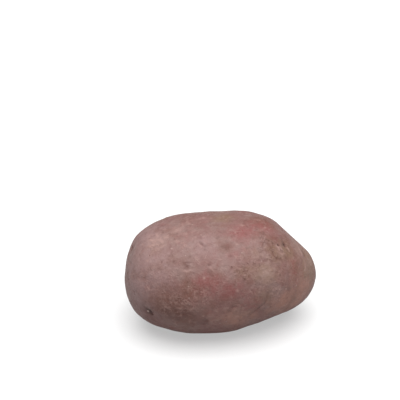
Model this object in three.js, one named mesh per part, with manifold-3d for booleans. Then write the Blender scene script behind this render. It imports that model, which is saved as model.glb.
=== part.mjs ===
// A red-skinned potato, grown as one piece, lying on its broad side.
// Millimetres, +Z up. X runs from the broad rose end (-X) to the narrow stalk end (+X).
// The origin is on the floor, under the middle of the potato's length and breadth.
import * as THREE from 'three';
import { mergeVertices } from 'three/addons/utils/BufferGeometryUtils.js';
import Module from 'manifold-3d';

// ---- driving dimensions -------------------------------------------------

const HALF_LENGTH = 50.2;       // rose end to stalk end is twice this, before the swellings
const BREADTH_TO_HEIGHT = 1.18; // it grew a little flattened, and lies on the flatter side
const REST_SINK = 0.7;          // how much of the underside is flattened where it rests
const SURFACE_DETAIL = 14;      // cuts along each edge of the starting icosahedron
const SKIN_COLOUR = 0x9c736c;   // dusty mauve-pink, averaged over the skin
const SKIN_ROUGHNESS = 0.6;

// Cross-sections evenly spaced from the rose end to the stalk end.
// reach: the radius an ellipsoid of this half height would have there.
// rise: how far the middle of the section lies above the long axis.
// drift: how far the middle of the section lies behind the long axis (+Y).
const SECTIONS = [
  { reach: 45.0, rise: -0.8, drift: 1.5 },
  { reach: 36.5, rise: 0.3, drift: 1.0 },
  { reach: 33.2, rise: 0.6, drift: 0.4 },
  { reach: 31.0, rise: 0.6, drift: 0.0 },
  { reach: 29.9, rise: 0.7, drift: -0.2 },
  { reach: 29.5, rise: 1.7, drift: -0.2 },
  { reach: 29.2, rise: 1.6, drift: 0.2 },
  { reach: 27.8, rise: -1.7, drift: 0.8 },
  { reach: 23.8, rise: -3.0, drift: 1.6 },
];

// Broad swellings and hollows. along: -1 at the rose end to 1 at the stalk end.
// around: degrees about the long axis, 0 in front (-Y), 90 on top, 180 behind, 270 under.
const SWELLINGS = [
  { name: 'lower cheek of the rose end', along: -0.95, around: 300, rise: 0.9, spread: 7 },
  { name: 'upper cheek of the rose end', along: -0.78, around: 50, rise: 0.7, spread: 11 },
  { name: 'middle of the rose end', along: -0.98, around: 20, rise: 0.9, spread: 10 },
  { name: 'saddle above the nose', along: 0.74, around: 102, rise: -1.1, spread: 7 },
  { name: 'heel under the nose', along: 0.86, around: 300, rise: 1.2, spread: 7 },
  { name: 'back hump', along: -0.20, around: 168, rise: 1.4, spread: 16 },
  { name: 'back hollow', along: 0.42, around: 176, rise: -1.3, spread: 11 },
  { name: 'flat on the crown', along: -0.30, around: 88, rise: -0.5, spread: 13 },
];

// Eyes: small dimples in a spiral, closer together towards the rose end.
const EYES = [
  { name: 'saddle eye', along: 0.58, around: 59, depth: 1.0, spread: 3.4 },
  { name: 'cheek eye', along: -0.82, around: 338, depth: 0.8, spread: 2.8 },
  { name: 'crown eye', along: 0.14, around: 130, depth: 0.8, spread: 3.6 },
  { name: 'back eye', along: 0.30, around: 184, depth: 1.0, spread: 3.8 },
  { name: 'low back eye', along: -0.34, around: 214, depth: 0.9, spread: 3.4 },
  { name: 'high back eye', along: -0.52, around: 142, depth: 0.9, spread: 3.4 },
  { name: 'rose eye', along: -0.93, around: 96, depth: 0.9, spread: 3.0 },
  { name: 'rose side eye', along: -0.90, around: 204, depth: 0.9, spread: 3.0 },
  { name: 'nose back eye', along: 0.72, around: 232, depth: 0.8, spread: 3.2 },
  { name: 'stalk scar', along: 0.995, around: 150, depth: 1.1, spread: 3.2 },
];

// ---- helpers ------------------------------------------------------------

const radians = (degrees) => degrees * Math.PI / 180;

// Smooth value of one section measure at a place along the potato (-1 to 1).
function sectionValue(measure, along) {
  const last = SECTIONS.length - 1;
  const place = THREE.MathUtils.clamp((along + 1) / 2 * last, 0, last);
  const i = Math.min(Math.floor(place), last - 1);
  const t = place - i;
  const value = (k) => SECTIONS[k][measure];
  const slope = (k) => {
    const before = Math.max(k - 1, 0);
    const after = Math.min(k + 1, last);
    return (value(after) - value(before)) / (after - before);
  };
  return (2 * t ** 3 - 3 * t ** 2 + 1) * value(i) + (t ** 3 - 2 * t ** 2 + t) * slope(i)
    + (3 * t ** 2 - 2 * t ** 3) * value(i + 1) + (t ** 3 - t ** 2) * slope(i + 1);
}

// Unit direction for a place given along and around the potato.
function direction(along, around) {
  const ring = Math.sqrt(1 - along * along);
  return new THREE.Vector3(
    along,
    -ring * Math.cos(radians(around)),
    ring * Math.sin(radians(around)),
  );
}

// The plain body, before any swelling, in a unit direction.
function bodyPoint(dir) {
  const reach = sectionValue('reach', dir.x);
  return new THREE.Vector3(
    HALF_LENGTH * dir.x,
    sectionValue('drift', dir.x) + BREADTH_TO_HEIGHT * reach * dir.y,
    sectionValue('rise', dir.x) + reach * dir.z,
  );
}

// Outward direction of the plain body.
function bodyNormal(dir) {
  const reach = sectionValue('reach', dir.x);
  const breadth = BREADTH_TO_HEIGHT * reach;
  return new THREE.Vector3(dir.x / HALF_LENGTH, dir.y / breadth, dir.z / reach).normalize();
}

// ---- the potato ---------------------------------------------------------

// The grown outside: body, then swellings and eyes pushed out or in along the normal.
function grownShape() {
  const geometry = new THREE.IcosahedronGeometry(1, SURFACE_DETAIL);
  geometry.deleteAttribute('normal');
  geometry.deleteAttribute('uv');
  const shape = mergeVertices(geometry, 1e-5);
  const reliefs = [
    ...SWELLINGS.map((s) => ({ ...s, lift: s.rise })),
    ...EYES.map((e) => ({ ...e, lift: -e.depth })),
  ].map((r) => ({ ...r, centre: bodyPoint(direction(r.along, r.around)) }));
  const position = shape.attributes.position;
  for (let i = 0; i < position.count; i++) {
    const dir = new THREE.Vector3().fromBufferAttribute(position, i).normalize();
    const point = bodyPoint(dir);
    let lift = 0;
    for (const relief of reliefs) {
      const away = point.distanceTo(relief.centre) / relief.spread;
      lift += relief.lift * Math.exp(-away * away / 2);
    }
    point.addScaledVector(bodyNormal(dir), lift);
    position.setXYZ(i, point.x, point.y, point.z);
  }
  return shape;
}

// Stands the shape on the floor: centred in X and Y, sunk by the depth of the resting flat.
function standOnFloor(shape) {
  shape.computeBoundingBox();
  const { min, max } = shape.boundingBox;
  shape.translate(-(min.x + max.x) / 2, -(min.y + max.y) / 2, -min.z - REST_SINK);
  return shape;
}

function toManifold(wasm, geometry) {
  return new wasm.Manifold(new wasm.Mesh({
    numProp: 3,
    vertProperties: new Float32Array(geometry.attributes.position.array),
    triVerts: new Uint32Array(geometry.index.array),
  }));
}

function fromManifold(solid) {
  const mesh = solid.getMesh();
  const geometry = new THREE.BufferGeometry();
  geometry.setAttribute('position', new THREE.BufferAttribute(mesh.vertProperties, 3));
  geometry.setIndex(new THREE.BufferAttribute(mesh.triVerts, 1));
  geometry.computeVertexNormals();
  return geometry;
}

// Cuts everything below the floor away, which leaves the flat it rests on.
function cutRestingFlat(wasm, shape) {
  const side = 4 * HALF_LENGTH;
  const box = new THREE.BoxGeometry(side, side, side);
  box.deleteAttribute('normal');
  box.deleteAttribute('uv');
  const floor = mergeVertices(box).translate(0, 0, -side / 2);
  return fromManifold(toManifold(wasm, shape).subtract(toManifold(wasm, floor)));
}

const wasm = await Module();
wasm.setup();

const potato = new THREE.Mesh(
  cutRestingFlat(wasm, standOnFloor(grownShape())),
  new THREE.MeshStandardMaterial({
    color: SKIN_COLOUR, roughness: SKIN_ROUGHNESS, metalness: 0,
  }),
);
potato.name = 'potato';

const part = new THREE.Group();
part.name = 'red_potato';
part.add(potato);

export default part;
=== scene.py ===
"""A red-skinned potato on a plain pale floor, laid out as an add-on and run as a script."""

import math

import bpy
import numpy as np
from bpy.props import (
    FloatProperty,
    FloatVectorProperty,
    IntProperty,
    PointerProperty,
)
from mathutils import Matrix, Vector


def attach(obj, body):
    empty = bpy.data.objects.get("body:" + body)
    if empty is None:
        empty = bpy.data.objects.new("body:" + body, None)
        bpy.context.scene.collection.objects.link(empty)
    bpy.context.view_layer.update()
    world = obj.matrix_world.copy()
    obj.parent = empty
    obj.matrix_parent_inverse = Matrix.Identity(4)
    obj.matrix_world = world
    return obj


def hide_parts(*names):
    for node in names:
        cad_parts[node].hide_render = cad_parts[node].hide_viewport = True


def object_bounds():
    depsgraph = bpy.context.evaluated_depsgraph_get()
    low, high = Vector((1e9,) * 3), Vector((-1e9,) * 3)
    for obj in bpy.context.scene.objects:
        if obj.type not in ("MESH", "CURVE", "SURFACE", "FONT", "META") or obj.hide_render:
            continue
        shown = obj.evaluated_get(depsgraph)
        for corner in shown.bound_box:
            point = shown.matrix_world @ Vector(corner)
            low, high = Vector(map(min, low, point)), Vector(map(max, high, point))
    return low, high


bl_info = {
    "name": "Red Potato",
    "version": (1, 0, 0),
    "blender": (4, 5, 0),
    "location": "3D View > Sidebar > Potato",
    "description": "Grows a red-skinned potato and sets it in a plain studio",
    "category": "Object",
}

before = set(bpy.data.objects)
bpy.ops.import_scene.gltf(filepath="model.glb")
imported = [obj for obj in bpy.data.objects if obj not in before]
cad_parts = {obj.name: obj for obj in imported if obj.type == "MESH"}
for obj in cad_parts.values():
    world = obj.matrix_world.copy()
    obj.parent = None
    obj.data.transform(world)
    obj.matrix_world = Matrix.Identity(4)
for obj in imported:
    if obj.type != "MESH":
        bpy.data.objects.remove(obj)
CAD_BOX = [list(corner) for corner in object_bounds()]

MM = 0.001
CAD_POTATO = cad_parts["potato"]
LENGTH, BREADTH, HEIGHT = (high - low for low, high in zip(*CAD_BOX))
REST_DEPTH = 0.05 * MM  # skin lower than this is pressed onto the floor
FLOOR_SPAN = 8.0  # metres
KEY_FROM = (0.02, -0.18, 1.0)  # the way to the middle of the overhead light
CLIP_START = 0.01  # metres

# ---------------------------------------------------------------- the skin's marks
# A place is (along, around): millimetres along the potato from its middle, the rose end negative,
# and degrees round it, 0 in front (-Y), 90 on top, 180 behind and 270 underneath. Widths, lengths,
# depths, heights and reaches are millimetres. Darkness, paleness and strength run from 0 to 1.

# Broad swellings over the solid's own. Place, spread, rise.
SWELLINGS = {
    "rose end": ((-47, 60), 13, 0.5),
}

# The corky disc where the stalk was: its place as x, y, z, its width and depth.
STALK_SCAR = ((50.0, 4.0, 27.5), 5.0, 0.5)

# Eyes. Place, length of the leaf scar's arc, width of the pit, depth, size of the bud (0 to 1).
EYES = {
    "cheek eye": ((-41, 341), 4.5, 4.2, 1.4, 1.0),
    "saddle eye": ((30, 55), 4.5, 1.7, 0.8, 0.2),
    "saddle side eye": ((26, 52), 1.0, 1.0, 0.4, 0.0),
    "crown eye": ((6, 129), 10.0, 1.6, 0.8, 0.5),
    "back eye": ((15, 174), 12.0, 1.9, 0.9, 0.7),
    "low back eye": ((-17, 210), 11.0, 1.7, 0.9, 0.5),
    "high back eye": ((-26, 139), 12.0, 1.8, 0.9, 0.6),
    "rose eye": ((-46, 110), 7.0, 1.6, 0.8, 0.6),
    "rose side eye": ((-45, 205), 8.0, 1.6, 0.9, 0.6),
    "nose back eye": ((36, 230), 9.0, 1.5, 0.8, 0.4),
    "belly eye": ((8, 309), 9.0, 1.5, 0.8, 0.4),
}

# Small dents. Place, width, depth, darkness; the darkness is partly painted shade in the dent.
DENTS = {
    "round dent": ((-22, 34), 2.4, 0.45, 0.7),
    "shallow dent": ((-1, 49), 4.0, 0.35, 0.6),
    "middle dash": ((-11, 34), 1.2, 0.25, 0.8),
    "speck by the dent": ((-28, 40), 0.9, 0.15, 0.6),
    "brow pock": ((-27, 111), 1.0, 0.20, 0.7),
    "low pock": ((-23, 12), 1.0, 0.20, 0.7),
    "small low pock": ((-25, 20), 0.9, 0.15, 0.5),
    "cheek dot": ((-39, 352), 0.9, 0.25, 0.9),
    "cheek corner": ((-43, 347), 1.6, 0.25, 0.6),
    "rose top dot": ((-47, 139), 0.9, 0.20, 0.8),
    "rose pock": ((-49, 41), 1.0, 0.30, 0.9),
    "rose middle pock": ((-49, 22), 1.1, 0.30, 1.0),
    "rose side pock": ((-47, 3), 1.0, 0.25, 0.8),
    "rose low pock": ((-49, 323), 1.0, 0.25, 0.9),
    "rose corner pock": ((-46, 342), 1.1, 0.25, 0.8),
    "low notch": ((-41, 324), 1.2, 0.40, 0.9),
    "belly blot": ((-13, 345), 1.8, 0.15, 0.7),
    "small belly blot": ((-14, 341), 1.1, 0.15, 0.6),
    "cloud dent": ((7, 27), 2.4, 0.25, 0.6),
    "cloud pock": ((5, 30), 1.0, 0.15, 0.8),
    "cloud low pock": ((8, 22), 1.0, 0.15, 0.7),
    "cloud side pock": ((6, 20), 1.2, 0.15, 0.6),
    "side pock": ((14, 30), 1.0, 0.15, 0.6),
    "blotch pock": ((23, 23), 1.1, 0.15, 0.6),
    "top dark mark": ((12, 85), 1.2, 0.15, 0.8),
    "red edge mark": ((18, 84), 1.4, 0.15, 0.5),
    "saddle hollow": ((24, 36), 1.6, 0.25, 0.8),
    "saddle dot": ((22, 47), 1.1, 0.20, 0.7),
    "back dent": ((-5, 160), 3.0, 0.35, 0.6),
    "high back dent": ((18, 128), 2.6, 0.30, 0.6),
    "stalk side dent": ((44, 175), 2.0, 0.30, 0.6),
    "low back pock": ((4, 200), 1.2, 0.25, 0.8),
}

# Sunken lines. Places, width, depth, darkness; the darkness is partly painted shade in the groove.
CREASES = {
    "belly crease": (((17, 6), (17, 1), (16, 356), (13, 353), (10, 348), (8, 344)), 0.9, 0.28, 0.45),
    "belly crease end": (((14, 354), (12, 350)), 1.0, 0.20, 0.8),
    "slant nick": (((-14, 57), (-12, 52)), 0.9, 0.20, 0.9),
    # painted shadow along the round dent's upper wall
    "round dent painted shadow": (((-24, 36), (-22, 38), (-19, 37)), 0.8, 0.15, 0.7),
    "rose line": (((-47, 122), (-48, 90), (-47, 55)), 0.8, 0.15, 0.6),
    "dash": (((16, 53), (18, 53)), 0.8, 0.15, 0.8),
    "small dash": (((-1, 41), (1, 40)), 0.8, 0.12, 0.7),
    "low dash": (((-1, 358), (2, 358)), 0.9, 0.15, 0.7),
    "saddle wrinkle": (((20, 53), (22, 46), (22, 40), (24, 36), (27, 34)), 1.1, 0.20, 0.8),
    "saddle outer wrinkle": (((14, 46), (15, 42), (17, 44), (18, 45), (20, 42)), 0.8, 0.12, 0.6),
    "saddle low wrinkle": (((13, 35), (17, 34), (19, 36), (21, 34)), 0.8, 0.12, 0.6),
    "nose stroke": (((41, 60), (42, 50), (42, 42)), 0.9, 0.18, 0.9),
    "low scratch": (((-26, 353), (-23, 354)), 0.7, 0.10, 0.3),
    "low left wrinkle": (((-34, 8), (-31, 4), (-27, 5)), 0.8, 0.12, 0.5),
    "low left wrinkle end": (((-29, 357), (-25, 352), (-21, 353)), 0.8, 0.12, 0.5),
    "back crease": (((-12, 190), (-5, 196), (2, 198)), 1.2, 0.25, 0.7),
    "crown scratch": (((-14, 113), (-5, 108)), 0.7, 0.12, 0.6),
    "high back scratch": (((8, 150), (13, 143), (20, 140)), 0.8, 0.15, 0.5),
    "nose back wrinkle": (((30, 160), (33, 170), (32, 181)), 0.9, 0.15, 0.6),
    "rose back wrinkle": (((-38, 170), (-40, 180), (-38, 192)), 0.9, 0.15, 0.6),
}

# Dry, pale lines that stand a little proud. Places, width, height, paleness.
SCUFFS = {
    "dusty scuff": (((-38, 76), (-37, 73), (-35, 71)), 1.0, 0.10, 1.0),
    "dusty scuff middle": (((-35, 72), (-33, 69), (-32, 64)), 1.0, 0.10, 0.9),
    "dusty scuff below": (((-39, 68), (-37, 65), (-34, 64)), 0.9, 0.08, 0.9),
    "dusty scuff low": (((-37, 60), (-34, 58), (-31, 60)), 0.9, 0.08, 0.6),
    "dusty scuff above": (((-34, 84), (-34, 79), (-33, 75)), 0.9, 0.06, 0.8),
    "dusty scuff far": (((-38, 88), (-36, 84)), 0.9, 0.06, 0.6),
    "dusty scuff side": (((-31, 73), (-29, 69)), 0.9, 0.06, 0.6),
    "pale curve": (((-26, 75), (-24, 78), (-22, 76)), 1.1, 0.08, 0.5),
    "small pale ring": (((-26, 61), (-25, 63), (-24, 61), (-25, 60), (-26, 61)), 0.8, 0.08, 0.5),
    "crown stroke": (((-17, 104), (-18, 88)), 0.9, 0.08, 0.5),
    # a raised lip, painted pale: painted light on the round dent's lower wall
    "round dent lip with painted light": (((-24, 31), (-22, 30), (-20, 31)), 1.1, 0.10, 0.7),
    "middle trail": (((-11, 33), (-9, 29)), 0.9, 0.08, 0.5),
    "nick lip": (((-15, 55), (-13, 50)), 0.9, 0.10, 0.5),
    "left dash": (((-41, 16), (-40, 13)), 0.9, 0.10, 0.9),
    "left squiggle": (((-44, 31), (-43, 33), (-42, 31)), 0.9, 0.08, 0.6),
    "left fleck line": (((-45, 25), (-44, 22)), 1.0, 0.08, 0.6),
    "net line": (((-34, 359), (-32, 357), (-31, 358)), 0.8, 0.08, 0.7),
    "net second line": (((-28, 359), (-26, 358), (-25, 0)), 0.8, 0.08, 0.7),
    "net third line": (((-31, 3), (-29, 5), (-28, 2)), 0.7, 0.08, 0.5),
    "net fourth line": (((-24, 2), (-22, 4), (-20, 2)), 0.7, 0.08, 0.5),
    "net fifth line": (((-21, 358), (-19, 0), (-17, 358)), 0.7, 0.08, 0.4),
    "saddle scuff": (((25, 51), (26, 48), (26, 45)), 0.9, 0.10, 0.9),
    "saddle scuff side": (((27, 50), (28, 46)), 0.8, 0.08, 0.7),
    "saddle scuff below": (((24, 44), (27, 41), (29, 42)), 0.7, 0.08, 0.6),
    "eye lip": (((30, 52), (32, 50), (32, 46)), 0.9, 0.10, 0.8),
    "nose scuff": (((39, 62), (40, 52), (40, 44)), 1.0, 0.08, 0.9),
    "nose low scuff": (((41, 34), (41, 24), (41, 16)), 1.3, 0.06, 0.7),
    "heel net": (((20, 9), (21, 7), (22, 9)), 0.7, 0.08, 0.6),
    "heel net middle": (((23, 9), (24, 7), (26, 6)), 0.7, 0.08, 0.6),
    "heel net low": (((21, 358), (22, 0), (24, 0), (25, 358)), 0.7, 0.08, 0.6),
    "back scuff": (((-20, 150), (-16, 147), (-13, 149)), 1.2, 0.10, 0.7),
    "back net": (((0, 185), (3, 182), (5, 186), (8, 184)), 0.8, 0.08, 0.6),
}

# Pale specks. Place, width, height, paleness.
FLECKS = {
    "dust speck": ((-37, 75), 1.2, 0.05, 1.0),
    "dust second speck": ((-35, 69), 1.2, 0.05, 1.0),
    "dust third speck": ((-32, 66), 1.6, 0.05, 0.8),
    "left pale speck": ((-40, 46), 1.6, 0.08, 0.6),
    "crown speck": ((-24, 77), 2.2, 0.05, 0.5),
    "crown far speck": ((-9, 96), 1.6, 0.06, 0.6),
    "red patch speck": ((-14, 24), 1.0, 0.10, 1.0),
    "net speck": ((-25, 3), 1.0, 0.06, 0.6),
    "belly speck": ((-15, 351), 0.9, 0.06, 0.9),
    "belly low patch": ((-12, 336), 1.8, 0.05, 0.6),
    "cloud speck": ((7, 28), 0.8, 0.08, 1.0),
    "middle low speck": ((2, 12), 1.2, 0.06, 0.8),
    "low pair": ((-4, 358), 0.9, 0.05, 0.6),
    "low pair second": ((-3, 358), 0.9, 0.05, 0.6),
    "red edge speck": ((21, 74), 1.0, 0.06, 0.9),
}

# Patches of colour. Place, reach along the length, reach round the girth, strength.
PATCHES = {
    "lilac": (
        # paler lilac over the rose end: its bloom, and partly a painted light rim on its left edge
        ((-46, 20), 8, 16, 1.0),
        ((-44, 345), 6, 10, 0.9),
        ((-38, 45), 7, 15, 0.9),
        ((-35, 19), 6, 6, 0.4),
        ((-40, 90), 10, 12, 0.8),
        ((-12, 52), 7, 6, 0.6),
        ((-20, 45), 7, 6, 0.3),
        ((-46, 180), 7, 16, 0.8),
        ((-8, 150), 12, 9, 0.7),
        ((6, 190), 10, 8, 0.6),
        ((30, 140), 9, 8, 0.5),
    ),
    "salmon": (
        ((36, 345), 11, 8, 1.0),
        ((28, 350), 9, 6, 0.8),
        ((3, 345), 9, 7, 0.65),
        ((-8, 350), 6, 5, 0.4),
        ((-22, 78), 7, 9, 0.2),
        ((-22, 165), 10, 7, 0.5),
        ((36, 165), 8, 7, 0.6),
        ((25, 200), 12, 9, 0.7),
        ((-20, 230), 12, 9, 0.6),
        ((0, 305), 16, 10, 0.5),
    ),
    "brown": (
        ((-30, 0), 11, 7, 0.9),
        ((-20, 13), 6, 5, 1.0),
        ((-23, 344), 4, 3, 0.7),
        ((-22, 350), 7, 5, 0.6),
        ((-8, 25), 9, 4, 0.3),
        # darker brown along the top edge: partly the skin's own brown, partly painted shade
        ((20, 84), 7, 5, 0.9),
        ((23, 54), 5, 5, 0.8),
        ((7, 27), 4, 3, 0.6),
        ((-1, 49), 3.5, 2.5, 0.8),
        ((-25, 33), 9, 6, 0.3),
        ((-14, 36), 10, 8, 0.35),
        ((12, 186), 12, 8, 0.8),
        ((-30, 160), 8, 7, 0.6),
        ((-5, 118), 10, 6, 0.5),
        ((40, 215), 7, 8, 0.7),
    ),
    "blush": (
        ((8, 65), 7, 6, 0.7),
        ((18, 76), 8, 5, 0.6),
        ((-14, 21), 5, 4, 0.75),
        ((-12, 17), 8, 6, 0.55),
        ((-2, 12), 6, 4.5, 0.65),
        ((4, 6), 8, 4, 0.35),
        ((10, 0), 6, 5, 0.6),
        ((34, 27), 3.5, 6, 0.8),
        ((36, 12), 5, 6, 0.4),
        ((3, 45), 5, 5, 0.4),
        ((-21, 69), 6, 8, 0.35),
        ((25, 62), 5, 4, 0.4),
        ((-2, 145), 12, 8, 0.6),
        ((-35, 150), 9, 8, 0.6),
        ((30, 150), 9, 8, 0.7),
        ((46, 120), 6, 8, 0.5),
        ((-14, 200), 9, 6, 0.5),
        ((-32, 228), 8, 7, 0.5),
    ),
    "olive": (
        ((31, 47), 5, 5, 0.9),
        ((23, 42), 5, 5, 0.7),
        ((7, 27), 5, 4, 0.5),
        ((13, 40), 5, 4, 0.5),
        ((38, 58), 5, 6, 0.6),
        ((41, 20), 3, 6, 0.8),
        ((36, 28), 9, 14, 0.5),
        ((45, 34), 6, 9, 0.9),
        ((16, 2), 6, 6, 0.5),
        ((10, 350), 16, 5, 0.3),
        ((17, 24), 6, 4, 0.9),
        ((1, 93), 5, 5, 0.8),
        ((-35, 63), 6, 4, 0.4),
        ((12, 154), 8, 7, 0.8),
        ((-30, 130), 8, 7, 0.6),
        ((20, 260), 12, 10, 0.5),
    ),
    "russet": (
        ((-28, 0), 9, 6, 1.0),
        ((-15, 10), 8, 5, 0.8),
        ((-40, 20), 7, 7, 0.7),
        ((-35, 66), 6, 5, 1.0),
        ((23, 4), 6, 6, 0.9),
        ((10, 10), 8, 6, 0.5),
        ((-5, 345), 10, 6, 0.5),
        ((24, 200), 9, 8, 0.9),
        ((-8, 205), 12, 8, 0.9),
        ((-44, 160), 8, 9, 0.8),
        ((-10, 120), 10, 8, 0.6),
        ((15, 150), 10, 8, 0.6),
    ),
    "wrinkled": (
        ((22, 46), 8, 8, 1.0),
        ((15, 38), 7, 6, 0.8),
        ((6, 26), 5, 5, 0.9),
        ((33, 40), 6, 8, 0.6),
        ((-30, 355), 6, 5, 0.4),
        ((12, 176), 8, 9, 0.8),
        ((-25, 138), 8, 8, 0.8),
        ((-16, 210), 8, 8, 0.7),
    ),
    "dust": (
        ((-35, 70), 7, 6, 0.5),
        ((-24, 77), 3, 2, 0.5),
        ((26, 48), 2.2, 2.2, 0.5),
        ((17, 24), 5, 4, 0.6),
        ((13, 42), 3, 4, 0.4),
        ((-12, 50), 6, 4, 0.2),
        ((-44, 60), 6, 8, 0.4),
        ((38, 60), 4, 6, 0.5),
        ((45, 34), 4, 8, 0.5),
        ((-38, 45), 5, 9, 0.3),
        ((-38, 150), 6, 6, 0.5),
        ((8, 168), 8, 6, 0.5),
        ((-20, 140), 9, 8, 0.7),
        ((22, 132), 7, 7, 0.6),
        ((5, 215), 8, 7, 0.5),
    ),
    "soil": (
        ((-28, 352), 10, 6, 0.7),
        ((-41, 335), 6, 5, 0.5),
        ((-16, 344), 5, 4, 0.6),
        ((0, 270), 30, 20, 0.6),
        ((14, 125), 8, 7, 0.5),
        ((-12, 225), 12, 9, 0.7),
    ),
}

STREWN = 260  # further small marks strewn at random over the whole skin
STREWN_SEED = 11

MARK_EDGE = 2.4  # a mark's width over the radius of its bell
EYE_REACH = 6.0  # mm; an eye marks no skin further off its own plane, so none on the far side
END_ALONG = 49.0  # mm; marks strewn by chance stay this near the middle along the length
LEAST_WEIGHT = 1e-3  # a vertex that would move less than this share of the deepest mark is left out


# ---------------------------------------------------------------- settings


def linear(hex_colour):
    """Linear RGB of an sRGB hex colour."""
    channels = (int(hex_colour[i : i + 2], 16) / 255 for i in (1, 3, 5))
    return tuple(c / 12.92 if c <= 0.04045 else ((c + 0.055) / 1.055) ** 2.4 for c in channels)


def colour(name, hex_colour, description):
    """A colour setting."""
    return FloatVectorProperty(
        name=name,
        description=description,
        subtype="COLOR",
        size=3,
        min=0.0,
        max=1.0,
        default=linear(hex_colour),
    )


def length(name, default, description):
    """A length setting, in metres."""
    return FloatProperty(name=name, description=description, default=default, min=0.0, unit="LENGTH")


class PotatoSettings(bpy.types.PropertyGroup):
    """Sizes and colours of the potato."""

    cage_levels: IntProperty(
        name="Cage levels",
        description="Subdivisions of the starting cube before it takes the potato's shape",
        default=4,
        min=2,
        max=5,
    )
    skin_levels: IntProperty(
        name="Skin levels",
        description="Further subdivisions, which carry the skin's small shapes",
        default=3,
        min=1,
        max=3,
    )
    swell: length("Swell", 1.1 * MM, "Height of the broad unevenness of the flesh")
    ripple: length("Ripple", 0.16 * MM, "Height of the small unevenness of the skin")
    mauve: colour("Mauve skin", "#7d5b57", "Main colour of the thin skin")
    grey: colour("Grey skin", "#816661", "Duller, greyer colour of the thin skin")
    lilac: colour("Lilac skin", "#8d716f", "Bloomy, pinkish grey of the rose end")
    salmon: colour("Salmon skin", "#a07365", "Lighter, warmer colour of the heel and belly")
    brown: colour("Brown skin", "#704d43", "Darker, browner colour where the skin is thicker")
    blush: colour("Blush", "#7f4745", "Red where the colour of the skin is strongest")
    olive: colour("Olive", "#7a5f4e", "Greyish tan of corky patches")
    net: colour("Net", "#a2827b", "Raised, pale lines of the corky netting and scuffs")
    dust: colour("Dust", "#9d837d", "Dry dust of soil on the skin")
    soil: colour("Soil", "#533630", "Soil rubbed into the skin")
    # painted shade inside the eyes' pits, darker than their sunken mesh is shaded
    pit: colour("Eye pit", "#3a1f1d", "Inside of an eye")
    # pale bud tip, painted lighter still as a painted highlight on it
    bud: colour("Bud", "#dcc2b8", "Tip of the bud inside an eye")
    # this colour also darkens every sunk mark: partly painted shade in the hollows
    pore_and_hollow_shade: colour("Pore", "#552f28", "Breathing pores of the skin")
    roughness: FloatProperty(
        name="Roughness",
        description="Roughness of the clean skin",
        default=0.5,
        min=0.0,
        max=1.0,
        subtype="FACTOR",
    )


class StudioSettings(bpy.types.PropertyGroup):
    """Floor, light and camera."""

    floor_colour: colour("Floor", "#b4b4b4", "Pale matt floor")
    floor_glow: FloatProperty(
        name="Floor glow", description="How far the floor's shadows are lifted", default=0.45, min=0.0
    )
    key_strength: FloatProperty(
        name="Key light", description="Strength of the broad overhead light", default=4.9, min=0.0
    )
    key_softness: FloatProperty(
        name="Key softness",
        description="Angle that the overhead light fills",
        default=math.radians(70),
        min=0.0,
        max=math.pi,
        subtype="ANGLE",
    )
    fill_strength: FloatProperty(
        name="Fill light", description="Strength of the light from all round", default=0.1, min=0.0
    )
    camera_aim: FloatVectorProperty(
        name="Camera aim",
        description="The point that the camera looks at",
        default=(-0.0110, 0.0017, 0.0699),
        subtype="TRANSLATION",
        unit="LENGTH",
    )
    camera_distance: length("Camera distance", 0.478, "From the aim point to the camera")
    camera_azimuth: FloatProperty(
        name="Camera azimuth",
        description="Turn round the potato; zero looks along +Y",
        default=math.radians(-8.6),
        subtype="ANGLE",
    )
    camera_elevation: FloatProperty(
        name="Camera elevation",
        description="Angle above the horizon",
        default=math.radians(25.0),
        subtype="ANGLE",
    )
    lens: FloatProperty(name="Lens", description="Focal length in mm", default=85.0, min=1.0)


# ---------------------------------------------------------------- modelling helpers


def start_clean():
    """Object mode with nothing selected."""
    if bpy.context.object and bpy.context.object.mode != "OBJECT":
        bpy.ops.object.mode_set(mode="OBJECT")
    bpy.ops.object.select_all(action="DESELECT")


def apply_modifier(obj, kind, **settings):
    """Adds a modifier with its settings and applies it."""
    modifier = obj.modifiers.new(kind.title(), kind)
    for name, value in settings.items():
        setattr(modifier, name, value)
    bpy.context.view_layer.objects.active = obj
    bpy.ops.object.modifier_apply(modifier=modifier.name)


def subdivide(obj, levels):
    """Applies a subdivision surface."""
    apply_modifier(obj, "SUBSURF", levels=levels, render_levels=levels)


def clouds(name, lump, depth):
    """Cloud texture for displacement, with the size of its lumps in metres."""
    texture = bpy.data.textures.new(name, "CLOUDS")
    texture.noise_scale = lump
    texture.noise_depth = depth
    return texture


def vertex_positions(obj):
    """Positions of all the vertices, in millimetres."""
    values = np.empty(len(obj.data.vertices) * 3)
    obj.data.vertices.foreach_get("co", values)
    return values.reshape(-1, 3) / MM


def weight_group(obj, name, weights):
    """Vertex group with these weights."""
    group = obj.vertex_groups.new(name=name)
    for index in np.nonzero(weights > LEAST_WEIGHT)[0]:
        group.add([int(index)], float(weights[index]), "REPLACE")
    return group.name


def keep_attribute(obj, name, values):
    """Stores values on the vertices for the material to read."""
    attribute = obj.data.attributes.new(name, "FLOAT", "POINT")
    attribute.data.foreach_set("value", np.clip(values, 0, 1).astype(np.float32))


def on_skin(obj, place):
    """(point, normal) of a place on the skin, the point in millimetres."""
    along, around = place[0] * MM, math.radians(place[1])
    middle = Vector((along, 0, HEIGHT / 2))
    outward = Vector((0, -math.cos(around), math.sin(around)))
    found, point, normal, _ = obj.ray_cast(middle, outward)
    if not found:
        raise RuntimeError(f"no skin at {place}")
    return np.array(point) / MM, np.array(normal)


def bell(distance, radius):
    """Smooth bump: 1 at the middle, about 0.6 at the radius, next to nothing at three radii."""
    return np.exp(-0.5 * (distance / radius) ** 2)


# ---------------------------------------------------------------- marks


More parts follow.
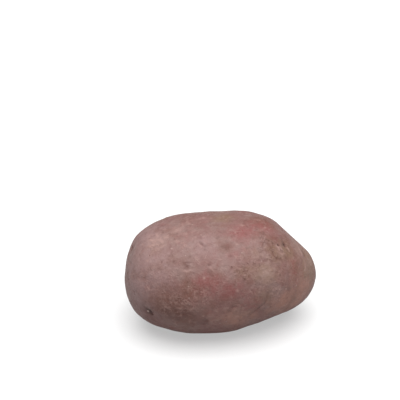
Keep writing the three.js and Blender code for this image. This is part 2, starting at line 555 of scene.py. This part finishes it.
class Marks:
    """Collects how far the skin is raised or sunk, and what colours it."""

    def __init__(self, obj):
        self.obj = obj
        self.points = vertex_positions(obj)
        self.raised = np.zeros(len(self.points))  # millimetres
        self.sunk = np.zeros(len(self.points))  # millimetres
        self.fields = {}

    def paint(self, name, values):
        """Keeps the stronger of a colour field and these values."""
        field = self.fields.setdefault(name, np.zeros(len(self.points)))
        np.maximum(field, values, out=field)

    def local(self, place):
        """(along, around, off) in millimetres from a place on the skin: along the length, round the
        girth, and away from the skin."""
        point, normal = on_skin(self.obj, place)
        along = np.cross(np.cross(normal, (1.0, 0.0, 0.0)), normal)
        if np.linalg.norm(along) < 0.35:
            # the skin faces along the potato here, so along is upwards instead
            along = np.cross(np.cross(normal, (0.0, 0.0, 1.0)), normal)
        along /= np.linalg.norm(along)
        around = np.cross(normal, along)
        away = self.points - point
        return away @ along, away @ around, away @ normal

    def patch(self, name, place, along, around, strength):
        """A soft patch of a colour field."""
        u, v, off = self.local(place)
        reach = np.sqrt((u / along) ** 2 + (v / around) ** 2 + (off / max(along, around)) ** 2)
        self.paint(name, strength * bell(reach, 1.0))

    def spot(self, place, wide):
        """Round spot of this width."""
        point, _ = on_skin(self.obj, place)
        return bell(np.linalg.norm(self.points - point, axis=1), wide / MARK_EDGE)

    def line(self, places, wide):
        """Line of this width through these places, fading at its ends."""
        stops = [on_skin(self.obj, place)[0] for place in places]
        nearest = np.full(len(self.points), np.inf)
        done = np.zeros(len(self.points))
        for i, (a, b) in enumerate(zip(stops, stops[1:])):
            run = b - a
            t = np.clip((self.points - a) @ run / (run @ run), 0, 1)
            distance = np.linalg.norm(self.points - (a + t[:, None] * run), axis=1)
            closer = distance < nearest
            done = np.where(closer, (i + t) / (len(stops) - 1), done)
            nearest = np.where(closer, distance, nearest)
        fade = np.sin(np.pi * (0.15 + 0.70 * done))
        return fade * bell(nearest, wide / MARK_EDGE)

    def sink(self, shape, deep, dark):
        """Sinks the skin in this shape and darkens it there: the dark of pores and scratches, and
        partly painted shade in dents, creases and grooves.
        """
        self.sunk += deep * shape
        self.paint("hollow", dark * shape)

    def raise_up(self, shape, high, pale):
        """Raises and pales the skin in this shape."""
        self.raised += high * shape
        self.paint("scuff", pale * shape)

    def scar(self, near, wide, deep):
        """A sunken disc of pale cork at the skin nearest to this point: its ragged rim stands proud,
        and it is cracked towards a small dark pit where the stalk came away. Everything in it is a
        share of its width or its depth."""
        _, point, _, _ = self.obj.closest_point_on_mesh(Vector(near) * MM)
        away = self.points - np.array(point) / MM
        distance = np.linalg.norm(away, axis=1)
        turn = np.arctan2(away[:, 2], away[:, 1])
        edge = 0.42 * wide * (1 + 0.12 * np.cos(2 * turn + 0.7) + 0.10 * np.cos(5 * turn))
        rays = np.clip(np.cos(7 * turn + 0.8 * distance), 0, 1) ** 6
        self.sunk += deep / (1 + (distance / edge) ** 6)
        # its pit and cracks are darkened as sunk marks are: partly painted shade
        self.sink(bell(distance, 0.10 * wide), 0.5 * deep, 0.9)
        self.sink(rays * bell(distance - 0.28 * wide, 0.12 * wide), 0.3 * deep, 0.5)
        self.raise_up(bell(distance - 1.35 * edge, 0.10 * wide), 0.4 * deep, 0.5)
        self.paint("olive", 0.6 * bell(distance, 0.5 * wide))
        self.paint("dust", bell(distance, 0.5 * wide))
        self.paint("wrinkled", 0.8 * bell(distance - 0.9 * wide, 0.5 * wide))

    def eye(self, place, brow, pit, deep, bud):
        """An eye: a shallow socket, the leaf scar's arc beside it, and a pit with a small bud. The
        lengths in it are shares of the arc and the pit, apart from the arc's own width."""
        u, v, off = self.local(place)
        near = np.abs(off) < EYE_REACH
        socket = bell(np.hypot(u / 1.1, v), max(0.33 * brow, 0.6 * pit)) * near
        self.sunk += 0.4 * deep * socket
        # the leaf scar is a groove with a ridge behind it, bent towards the rose end at its tips
        arc = u - 0.5 * pit - 0.08 * brow + 1.5 * v * v / brow
        half = np.clip(np.abs(v) / (brow / 2), 0, 1)
        taper = np.cos(half * np.pi / 2) ** 0.7 * near * (np.abs(u) < brow)
        self.raised += 0.30 * deep * taper * bell(arc - 0.7, 0.65)
        self.sunk += 0.45 * deep * taper * bell(arc + 0.05, 0.38)
        # the pit has steep walls and is painted dark inside, painted shade deeper than its sunken mesh
        # casts, and the bud stands in it towards the rose end
        hole = near / (1 + (np.hypot(u, 0.85 * v) / (0.42 * pit)) ** 5)
        tip = bell(np.hypot((u + 0.04 * pit) / 0.13, v / 0.20), pit) * near
        self.sunk += 0.8 * deep * hole
        self.raised += bud * deep * tip
        self.paint("pit", np.clip(hole - bud * tip, 0, 1))
        # the bud's tip is painted pale: its own pale colour and partly a painted highlight
        self.paint("bud", bud * tip)
        # painted shade in the leaf scar's groove
        self.paint("hollow", 0.8 * taper * bell(arc + 0.05, 0.45))
        self.paint("socket", socket)


def strew(marks, number, seed):
    """Strews small pores, flecks, scratches and dry lines over the whole skin."""
    chance = np.random.RandomState(seed)
    for _ in range(number):
        along, around = chance.uniform(1 - END_ALONG, END_ALONG - 1), chance.uniform(0, 360)
        kind, size, strength = chance.uniform(size=3)
        turn = chance.uniform(0, math.pi)
        run = 1.0 + 1.5 * size
        start = (along, around)
        tip = (
            min(max(along + run * math.cos(turn), -END_ALONG), END_ALONG),
            around + 2 * run * math.sin(turn),
        )
        shade = 0.2 + 0.4 * strength
        if kind < 0.40:  # pore
            marks.sink(marks.spot(start, 0.8 + 0.5 * size), 0.12, 0.25 + 0.5 * strength)
        elif kind < 0.65:  # fleck
            marks.raise_up(marks.spot(start, 0.8 + 0.6 * size), 0.05, 0.2 + 0.5 * strength)
        elif kind < 0.82:  # scratch
            marks.sink(marks.line((start, tip), 0.7), 0.10, shade)
        else:  # dry line
            marks.raise_up(marks.line((start, tip), 0.7), 0.06, shade)


def mark_skin(obj):
    """Works out every mark on the skin."""
    marks = Marks(obj)
    for place, spread, rise in SWELLINGS.values():
        marks.raised += rise * marks.spot(place, MARK_EDGE * spread)
    marks.scar(*STALK_SCAR)
    for place, brow, pit, deep, bud in EYES.values():
        marks.eye(place, brow, pit, deep, bud)
    for place, wide, deep, dark in DENTS.values():
        marks.sink(marks.spot(place, wide), deep, dark)
    for places, wide, deep, dark in CREASES.values():
        marks.sink(marks.line(places, wide), deep, dark)
    for places, wide, high, pale in SCUFFS.values():
        marks.raise_up(marks.line(places, wide), high, pale)
    for place, wide, high, pale in FLECKS.values():
        marks.raise_up(marks.spot(place, wide), high, pale)
    for name, patches in PATCHES.items():
        for patch in patches:
            marks.patch(name, *patch)
    strew(marks, STREWN, STREWN_SEED)
    return marks


# ---------------------------------------------------------------- materials

# Sockets of a Mix node that mixes colours, which share their names with those for numbers.
MIX_SHARE, MIX_UNDER, MIX_OVER, MIX_RESULT = 0, 6, 7, 2

NET_LINE = 0.50  # mm, width of the lines of cork netting, about twice the real ones so that they show
TEAR = 1.1  # how strongly clouds tear the edge of a painted field


def put(tree, kind, inputs=None, out=0, **settings):
    """Adds a shader node with its settings, sets or links its inputs, and gives one of its outputs."""
    made = tree.nodes.new("ShaderNode" + kind)
    for name, value in settings.items():
        setattr(made, name, value)
    for name, value in (inputs or {}).items():
        socket = made.inputs[name]
        if isinstance(value, bpy.types.NodeSocket):
            tree.links.new(value, socket)
        elif socket.type == "RGBA":
            socket.default_value = (*value, 1.0)
        else:
            socket.default_value = value
    return made.outputs[out] if len(made.outputs) else made


def new_tree(name):
    """(material, empty node tree)"""
    material = bpy.data.materials.new(name)
    material.use_nodes = True
    material.node_tree.nodes.clear()
    return material, material.node_tree


class SkinPatterns:
    """Masks from 0 to 1 of the skin's patterns. Their sizes are millimetres on the potato."""

    def __init__(self, tree):
        self.tree = tree
        self.here = put(tree, "TexCoord", out="Object")

    def painted(self, field):
        """A colour field of the skin."""
        return put(self.tree, "Attribute", out="Fac", attribute_name=field)

    def both(self, mask, other):
        """Where two masks overlap."""
        return put(self.tree, "Math", {0: mask, 1: other}, operation="MULTIPLY")

    def cloudy(self, lump, low, high, detail=4.0, rough=0.6):
        """Clouds with lumps of this size, from the level where they start to where they are full."""
        value = put(
            self.tree,
            "TexNoise",
            {"Vector": self.here, "Scale": 1 / (lump * MM), "Detail": detail, "Roughness": rough},
        )
        return put(
            self.tree,
            "MapRange",
            {"Value": value, "From Min": low, "From Max": high},
            interpolation_type="SMOOTHSTEP",
        )

    def ragged(self, field, lump):
        """A colour field, its edge torn by clouds with lumps of this size."""
        value = put(
            self.tree,
            "TexNoise",
            {"Vector": self.here, "Scale": 1 / (lump * MM), "Detail": 5.0, "Roughness": 0.7},
        )
        value = put(
            self.tree, "Math", {0: value, 1: TEAR, 2: self.painted(field)}, operation="MULTIPLY_ADD"
        )
        middle = 0.5 * TEAR
        return put(
            self.tree,
            "MapRange",
            {"Value": value, "From Min": middle + 0.08, "From Max": middle + 0.95},
            interpolation_type="SMOOTHSTEP",
        )

    def netting(self, cell, warp, tear, where):
        """Net of lines round cells of this size, bent by warp times a cell, torn by clouds with
        lumps of size tear, and kept inside another mask."""
        drift = put(
            self.tree,
            "TexNoise",
            {"Vector": self.here, "Scale": 0.7 / (cell * MM), "Detail": 3.0},
            out="Color",
        )
        drift = put(self.tree, "VectorMath", {0: drift, 1: (0.5, 0.5, 0.5)}, operation="SUBTRACT")
        drift = put(self.tree, "VectorMath", {0: drift, "Scale": warp * cell * MM}, operation="SCALE")
        bent = put(self.tree, "VectorMath", {0: self.here, 1: drift}, operation="ADD")
        edge = put(
            self.tree,
            "TexVoronoi",
            {"Vector": bent, "Scale": 1 / (cell * MM)},
            feature="DISTANCE_TO_EDGE",
        )
        line = put(
            self.tree,
            "MapRange",
            {"Value": edge, "From Max": NET_LINE / cell, "To Min": 1.0, "To Max": 0.0},
            interpolation_type="SMOOTHSTEP",
        )
        return self.both(line, self.both(where, self.cloudy(tear, 0.44, 0.62)))

    def dotted(self, gap, radius, share):
        """Dots: their gap, their largest radius, and the share of places that have one."""
        cells = {"Vector": self.here, "Scale": 1 / (gap * MM)}
        distance = put(self.tree, "TexVoronoi", cells, out="Distance")
        chance = put(self.tree, "SeparateColor", {0: put(self.tree, "TexVoronoi", cells, out="Color")})
        size = put(
            self.tree,
            "MapRange",
            {"Value": chance, "From Min": 1.0 - share, "To Max": radius / gap},
        )
        inside = put(self.tree, "Math", {0: size, 1: distance}, operation="SUBTRACT")
        return put(
            self.tree,
            "MapRange",
            {"Value": inside, "From Max": 0.4 * radius / gap},
            interpolation_type="SMOOTHSTEP",
        )


def potato_skin(settings):
    """Thin, dry cork skin over flesh: matt, softly mottled, netted, specked and dusty."""
    material, tree = new_tree("Potato skin, thin dry cork")
    patterns = SkinPatterns(tree)
    cloudy, ragged, painted = patterns.cloudy, patterns.ragged, patterns.painted

    # Cork grain is a tenth of a millimetre across, and a pore or fleck about half a millimetre.
    # Both are drawn coarser, so that they show.
    grain = cloudy(0.9, 0.38, 0.68, detail=3.0, rough=0.7)
    pores = patterns.dotted(gap=3.9, radius=0.7, share=0.30)
    flecks = patterns.dotted(gap=3.1, radius=0.7, share=0.28)
    dusty = ragged("dust", 2.2)
    soiled = ragged("soil", 3.6)
    netted = ragged("russet", 5.0)
    net = patterns.netting(cell=2.3, warp=2.2, tear=2.0, where=netted)
    faint_net = patterns.netting(cell=3.6, warp=2.6, tear=2.9, where=cloudy(7.0, 0.46, 0.62))
    wrinkles = patterns.netting(cell=3.0, warp=2.4, tear=2.6, where=ragged("wrinkled", 5.0))

    # from the thin skin itself up to what lies on it: a mask, its full share and its colour
    skin = settings.mauve
    for mask, share, tint in (
        (cloudy(15.0, 0.42, 0.60, detail=2.0), 1.00, settings.grey),
        (ragged("lilac", 6.0), 1.00, settings.lilac),
        (ragged("salmon", 6.0), 1.00, settings.salmon),
        (cloudy(9.0, 0.50, 0.68), 0.50, settings.brown),
        (ragged("brown", 4.0), 0.90, settings.brown),
        (ragged("blush", 3.5), 0.90, settings.blush),
        (cloudy(8.0, 0.55, 0.75), 0.35, settings.blush),
        (ragged("olive", 4.0), 0.90, settings.olive),
        (cloudy(3.0, 0.50, 0.78, rough=0.65), 0.35, settings.dust),
        (cloudy(2.5, 0.50, 0.75, rough=0.65), 0.40, settings.soil),
        (grain, 0.16, settings.dust),
        (soiled, 0.50, settings.soil),
        (dusty, 0.65, settings.dust),
        (net, 0.55, settings.net),
        (faint_net, 0.40, settings.net),
        (wrinkles, 0.50, settings.soil),
        (pores, 0.50, settings.pore_and_hollow_shade),
        (flecks, 0.60, settings.dust),
        (painted("socket"), 0.30, settings.brown),
        (painted("scuff"), 0.85, settings.net),
        # darkening of every sunk mark: the dark of pores and scratches, and partly painted shade in
        # hollows
        (painted("hollow"), 0.62, settings.pore_and_hollow_shade),
        # painted shade inside the eyes' pits
        (painted("pit"), 1.00, settings.pit),
        # pale bud tips: their own colour and partly a painted highlight
        (painted("bud"), 1.00, settings.bud),
    ):
        mixed = {MIX_SHARE: patterns.both(mask, share), MIX_UNDER: skin, MIX_OVER: tint}
        skin = put(tree, "Mix", mixed, out=MIX_RESULT, data_type="RGBA")

    # dust, grain, soil and netting are duller than the bare skin
    rough = settings.roughness
    for mask, more in ((dusty, 0.15), (netted, 0.08), (grain, 0.10), (soiled, 0.10)):
        rough = put(tree, "Math", {0: mask, 1: more, 2: rough}, operation="MULTIPLY_ADD")

    # relief too fine for the mesh
    height = 0.0
    for mask, rise in (
        (grain, 0.30),
        (cloudy(1.9, 0.2, 0.8, detail=3.0), 0.9),
        (net, 0.7),
        (faint_net, 0.5),
        (wrinkles, -0.7),
        (pores, -0.8),
        (flecks, 0.4),
    ):
        height = put(tree, "Math", {0: mask, 1: rise, 2: height}, operation="MULTIPLY_ADD")
    relief = put(tree, "Bump", {"Height": height, "Strength": 1.0, "Distance": 0.15 * MM})

    surface = put(
        tree,
        "BsdfPrincipled",
        {
            "Base Color": skin,
            "Roughness": rough,
            "Normal": relief,
            "IOR": 1.45,
            "Specular IOR Level": 0.3,
            "Sheen Weight": 0.05,
            "Sheen Roughness": 0.4,
            "Sheen Tint": settings.bud,
        },
    )
    put(tree, "OutputMaterial", {"Surface": surface})
    return material


def floor_board(settings):
    """Matt pale board that glows a little to the camera, so that its shadows look light."""
    material, tree = new_tree("Floor, matt pale board")
    board = put(tree, "BsdfDiffuse", {"Color": settings.floor_colour})
    glow = put(tree, "Emission", {"Color": (1, 1, 1), "Strength": settings.floor_glow})
    lit = put(tree, "AddShader", {0: board, 1: glow})
    seen = put(tree, "LightPath", out="Is Camera Ray")
    shown = put(tree, "MixShader", {0: seen, 1: board, 2: lit})
    put(tree, "OutputMaterial", {"Surface": shown})
    return material


# ---------------------------------------------------------------- the potato


def even_ball(levels):
    """A ball of even quads, pressed to the potato's proportions and standing on the floor."""
    bpy.ops.mesh.primitive_cube_add(size=2.0, location=(0, 0, 0))
    ball = bpy.context.object
    subdivide(ball, levels)
    apply_modifier(ball, "CAST", cast_type="SPHERE", factor=1.0, radius=1.0, use_radius_as_size=True)
    bpy.ops.object.mode_set(mode="EDIT")
    bpy.ops.mesh.select_all(action="SELECT")
    bpy.ops.transform.resize(value=(LENGTH / 2, BREADTH / 2, HEIGHT / 2))
    bpy.ops.transform.translate(value=(0, 0, HEIGHT / 2))
    bpy.ops.object.mode_set(mode="OBJECT")
    return ball


def grow_unevenly(skin, name, lump, depth, height, middle):
    """Raises and lowers the skin in clouds with lumps of this size. The middle is the level of the
    clouds that leaves the skin where it is."""
    apply_modifier(
        skin,
        "DISPLACE",
        texture=clouds(name, lump, depth),
        texture_coords="LOCAL",
        strength=height,
        mid_level=middle,
    )


def carve_marks(skin):
    """Raises and sinks the marks on the skin, and leaves their colour fields on it."""
    marks = mark_skin(skin)
    for name, depths, way in (("raised", marks.raised, 1), ("sunk", marks.sunk, -1)):
        deepest = depths.max()
        group = weight_group(skin, name, depths / deepest)
        apply_modifier(
            skin, "DISPLACE", vertex_group=group, strength=way * deepest * MM, mid_level=0.0
        )
    skin.vertex_groups.clear()
    for name, values in marks.fields.items():
        keep_attribute(skin, name, values)


def press_flat(skin):
    """Presses the underside flat where the potato rests."""
    bpy.ops.object.mode_set(mode="EDIT")
    bpy.ops.mesh.select_mode(type="VERT")
    bpy.ops.mesh.select_all(action="DESELECT")
    bpy.ops.object.mode_set(mode="OBJECT")
    for vertex in skin.data.vertices:
        vertex.select = vertex.co.z < REST_DEPTH
    bpy.ops.object.mode_set(mode="EDIT")
    bpy.ops.transform.resize(value=(1, 1, 0), center_override=(0, 0, 0))
    bpy.ops.object.mode_set(mode="OBJECT")


class GrowPotato(bpy.types.Operator):
    """Models the potato's skin over the part's solid"""

    bl_idname = "red_potato.grow"
    bl_label = "Grow the potato"

    def execute(self, context):
        settings = context.scene.potato_settings
        start_clean()
        skin = even_ball(settings.cage_levels)
        skin.name = skin.data.name = "potato_skin"
        apply_modifier(skin, "SHRINKWRAP", target=CAD_POTATO, wrap_method="NEAREST_SURFACEPOINT")
        subdivide(skin, settings.skin_levels)
        grow_unevenly(skin, "swell", lump=16 * MM, depth=1, height=settings.swell, middle=0.37)
        grow_unevenly(skin, "ripple", lump=3.5 * MM, depth=2, height=settings.ripple, middle=0.5)
        carve_marks(skin)
        press_flat(skin)
        bpy.ops.object.shade_smooth()
        skin.data.materials.append(potato_skin(settings))
        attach(skin, "root")
        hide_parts("potato")
        return {"FINISHED"}


# ---------------------------------------------------------------- the studio


def add_floor(settings):
    """Wide pale floor."""
    bpy.ops.mesh.primitive_plane_add(size=FLOOR_SPAN, location=(0, 0, 0))
    floor = bpy.context.object
    floor.name = "floor"
    floor.data.materials.append(floor_board(settings))


def add_key_light(settings):
    """Broad light from overhead and a little in front."""
    bpy.ops.object.light_add(type="SUN", location=(0, 0, 1))
    key = bpy.context.object
    key.name = "overhead light"
    key.data.energy = settings.key_strength
    key.data.angle = settings.key_softness
    key.rotation_euler = Vector(KEY_FROM).to_track_quat("Z", "Y").to_euler()


def set_surround(scene, strength):
    """Weak light from all round, behind a backdrop that the camera sees as white."""
    world = bpy.data.worlds.new("Studio surround")
    scene.world = world
    world.use_nodes = True
    tree = world.node_tree
    tree.nodes.clear()
    fill = put(tree, "Background", {"Color": (1, 1, 1), "Strength": strength})
    white = put(tree, "Background", {"Color": (1, 1, 1), "Strength": 1.0})
    seen = put(tree, "LightPath", out="Is Camera Ray")
    shown = put(tree, "MixShader", {0: seen, 1: fill, 2: white})
    put(tree, "OutputWorld", {"Surface": shown})


def add_camera(scene, settings):
    """Camera on a sphere round the point it looks at."""
    turn, rise = settings.camera_azimuth, settings.camera_elevation
    back = Vector(
        (math.sin(turn) * math.cos(rise), -math.cos(turn) * math.cos(rise), math.sin(rise))
    )
    aim = Vector(settings.camera_aim)
    bpy.ops.object.camera_add(location=aim + back * settings.camera_distance)
    camera = bpy.context.object
    camera.rotation_euler = back.to_track_quat("Z", "Y").to_euler()
    camera.data.lens = settings.lens
    camera.data.clip_start = CLIP_START
    scene.camera = camera


class SetStudio(bpy.types.Operator):
    """Adds the floor, the light and the camera"""

    bl_idname = "red_potato.studio"
    bl_label = "Set the studio"

    def execute(self, context):
        settings = context.scene.studio_settings
        start_clean()
        add_floor(settings)
        add_key_light(settings)
        set_surround(context.scene, settings.fill_strength)
        add_camera(context.scene, settings)
        context.scene.view_settings.view_transform = "Standard"
        return {"FINISHED"}


# ---------------------------------------------------------------- add-on


class PotatoPanel(bpy.types.Panel):
    """Sizes, colours and steps of the potato"""

    bl_idname = "VIEW3D_PT_red_potato"
    bl_label = "Red Potato"
    bl_space_type = "VIEW_3D"
    bl_region_type = "UI"
    bl_category = "Potato"

    def draw(self, context):
        for settings, operator in (
            (context.scene.potato_settings, GrowPotato),
            (context.scene.studio_settings, SetStudio),
        ):
            box = self.layout.box()
            for name in settings.__annotations__:
                box.prop(settings, name)
            box.operator(operator.bl_idname)


CLASSES = (PotatoSettings, StudioSettings, GrowPotato, SetStudio, PotatoPanel)


def register():
    for cls in CLASSES:
        bpy.utils.register_class(cls)
    bpy.types.Scene.potato_settings = PointerProperty(type=PotatoSettings)
    bpy.types.Scene.studio_settings = PointerProperty(type=StudioSettings)


def unregister():
    del bpy.types.Scene.studio_settings
    del bpy.types.Scene.potato_settings
    for cls in reversed(CLASSES):
        bpy.utils.unregister_class(cls)


def main():
    register()
    bpy.ops.red_potato.grow()
    bpy.ops.red_potato.studio()


if __name__ == "__main__":
    main()
